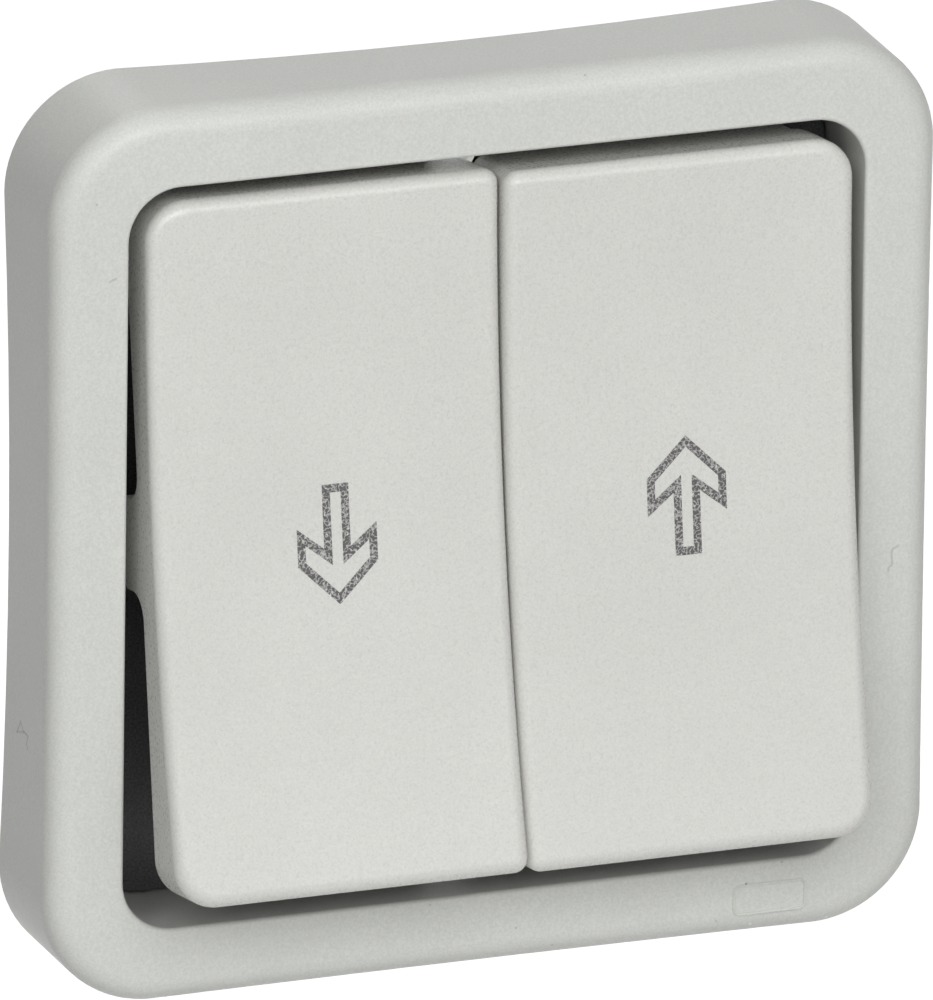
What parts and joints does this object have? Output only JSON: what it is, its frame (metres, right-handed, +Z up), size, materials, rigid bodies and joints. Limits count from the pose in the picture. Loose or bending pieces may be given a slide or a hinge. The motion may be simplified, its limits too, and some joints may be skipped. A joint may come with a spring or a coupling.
{
  "type": "roller shutter switch",
  "caption": "Flush splash-proof roller shutter switch: square cover frame with two tall tilting rockers, one marked down, one up.",
  "frame": {"origin": "centre of the mounting plane, where the support ring and the frame's back edge meet the wall", "axes": "+X to the right, +Z up, -Y out of the wall towards the user, +Y into the wall box"},
  "size_m": [0.0802, 0.0434, 0.0802],
  "materials": {
    "frame_plastic": "matt light grey, fine grain",
    "rocker_plastic": "matt light grey, fine grain",
    "arrow_print": "speckled grey print",
    "carrier_plastic": "matt black",
    "cradle_plastic": "natural white",
    "block_plastic": "moulded thermoset",
    "release_plastic": "glossy orange",
    "seal_rubber": "soft black",
    "zinc_steel": "zinc plated",
    "spring_steel": "bright spring steel",
    "contact_brass": "stamped brass"
  },
  "bodies": {
    "housing": {"cover_frame": "frame_plastic", "wall_seal": "seal_rubber", "support_ring": "zinc_steel", "seal_sheet": "seal_rubber", "retaining_plate": "carrier_plastic", "plate_screws": "zinc_steel", "insert_cover": "carrier_plastic", "cover_screws": "zinc_steel", "switch_block": "block_plastic", "terminal_plate": "block_plastic", "line_contact": "contact_brass", "bridge_contact": "contact_brass", "rest_contact": "contact_brass", "left_output_contact": "contact_brass", "right_output_contact": "contact_brass", "upper_left_clamp": "spring_steel", "upper_right_clamp": "spring_steel", "lower_left_clamp": "spring_steel", "lower_right_clamp": "spring_steel"},
    "left_button": {"left_rocker": "rocker_plastic", "down_arrow_print": "arrow_print", "left_cradle": "cradle_plastic", "left_spring": "spring_steel"},
    "right_button": {"right_rocker": "rocker_plastic", "up_arrow_print": "arrow_print", "right_cradle": "cradle_plastic", "right_spring": "spring_steel"},
    "left_pin": {"left_plunger": "cradle_plastic"},
    "right_pin": {"right_plunger": "cradle_plastic"},
    "left_lever": {"left_contact_lever": "contact_brass"},
    "right_lever": {"right_contact_lever": "contact_brass"},
    "upper_left_key": {"upper_left_release": "release_plastic"},
    "upper_right_key": {"upper_right_release": "release_plastic"},
    "lower_left_key": {"lower_left_release": "release_plastic"},
    "lower_right_key": {"lower_right_release": "release_plastic"}
  },
  "joints": [
    {"name": "left_rocker_pivot", "type": "hinge", "parent": "housing", "child": "left_button", "pos_m": [0, -0.00565, 0], "axis": [1, 0, 0], "range_deg": [0, 17.24]},
    {"name": "right_rocker_pivot", "type": "hinge", "parent": "housing", "child": "right_button", "pos_m": [0, -0.00565, 0], "axis": [1, 0, 0], "range_deg": [0, 15.54]},
    {"name": "left_plunger_slide", "type": "slide", "parent": "left_button", "child": "left_pin", "axis": [0, -0.9864, 0.1645], "range_m": [0, 0.0006], "stiffness_N_per_m": 400, "springref_m": -0.001, "deforming": ["left_spring"]},
    {"name": "right_plunger_slide", "type": "slide", "parent": "right_button", "child": "right_pin", "axis": [0, -0.9908, 0.1352], "range_m": [0, 0.0006], "stiffness_N_per_m": 400, "springref_m": -0.001, "deforming": ["right_spring"]},
    {"name": "left_lever_rock", "type": "hinge", "parent": "housing", "child": "left_lever", "pos_m": [0, 0.0093, 0], "axis": [1, 0, 0], "range_deg": [-12, 0]},
    {"name": "right_lever_rock", "type": "hinge", "parent": "housing", "child": "right_lever", "pos_m": [0, 0.0093, 0], "axis": [1, 0, 0], "range_deg": [-12, 0]},
    {"name": "upper_left_release_press", "type": "slide", "parent": "housing", "child": "upper_left_key", "axis": [0, -1, 0], "range_m": [0, 0.0007], "stiffness_N_per_m": 1500, "springref_m": -0.001},
    {"name": "upper_right_release_press", "type": "slide", "parent": "housing", "child": "upper_right_key", "axis": [0, -1, 0], "range_m": [0, 0.0007], "stiffness_N_per_m": 1500, "springref_m": -0.001},
    {"name": "lower_left_release_press", "type": "slide", "parent": "housing", "child": "lower_left_key", "axis": [0, -1, 0], "range_m": [0, 0.0007], "stiffness_N_per_m": 1500, "springref_m": -0.001},
    {"name": "lower_right_release_press", "type": "slide", "parent": "housing", "child": "lower_right_key", "axis": [0, -1, 0], "range_m": [0, 0.0007], "stiffness_N_per_m": 1500, "springref_m": -0.001}
  ],
  "couplings": [
    {"joint": "left_lever_rock", "follows": "left_rocker_pivot", "ratio": -0.69606},
    {"joint": "right_lever_rock", "follows": "right_rocker_pivot", "ratio": -0.7722}
  ]
}
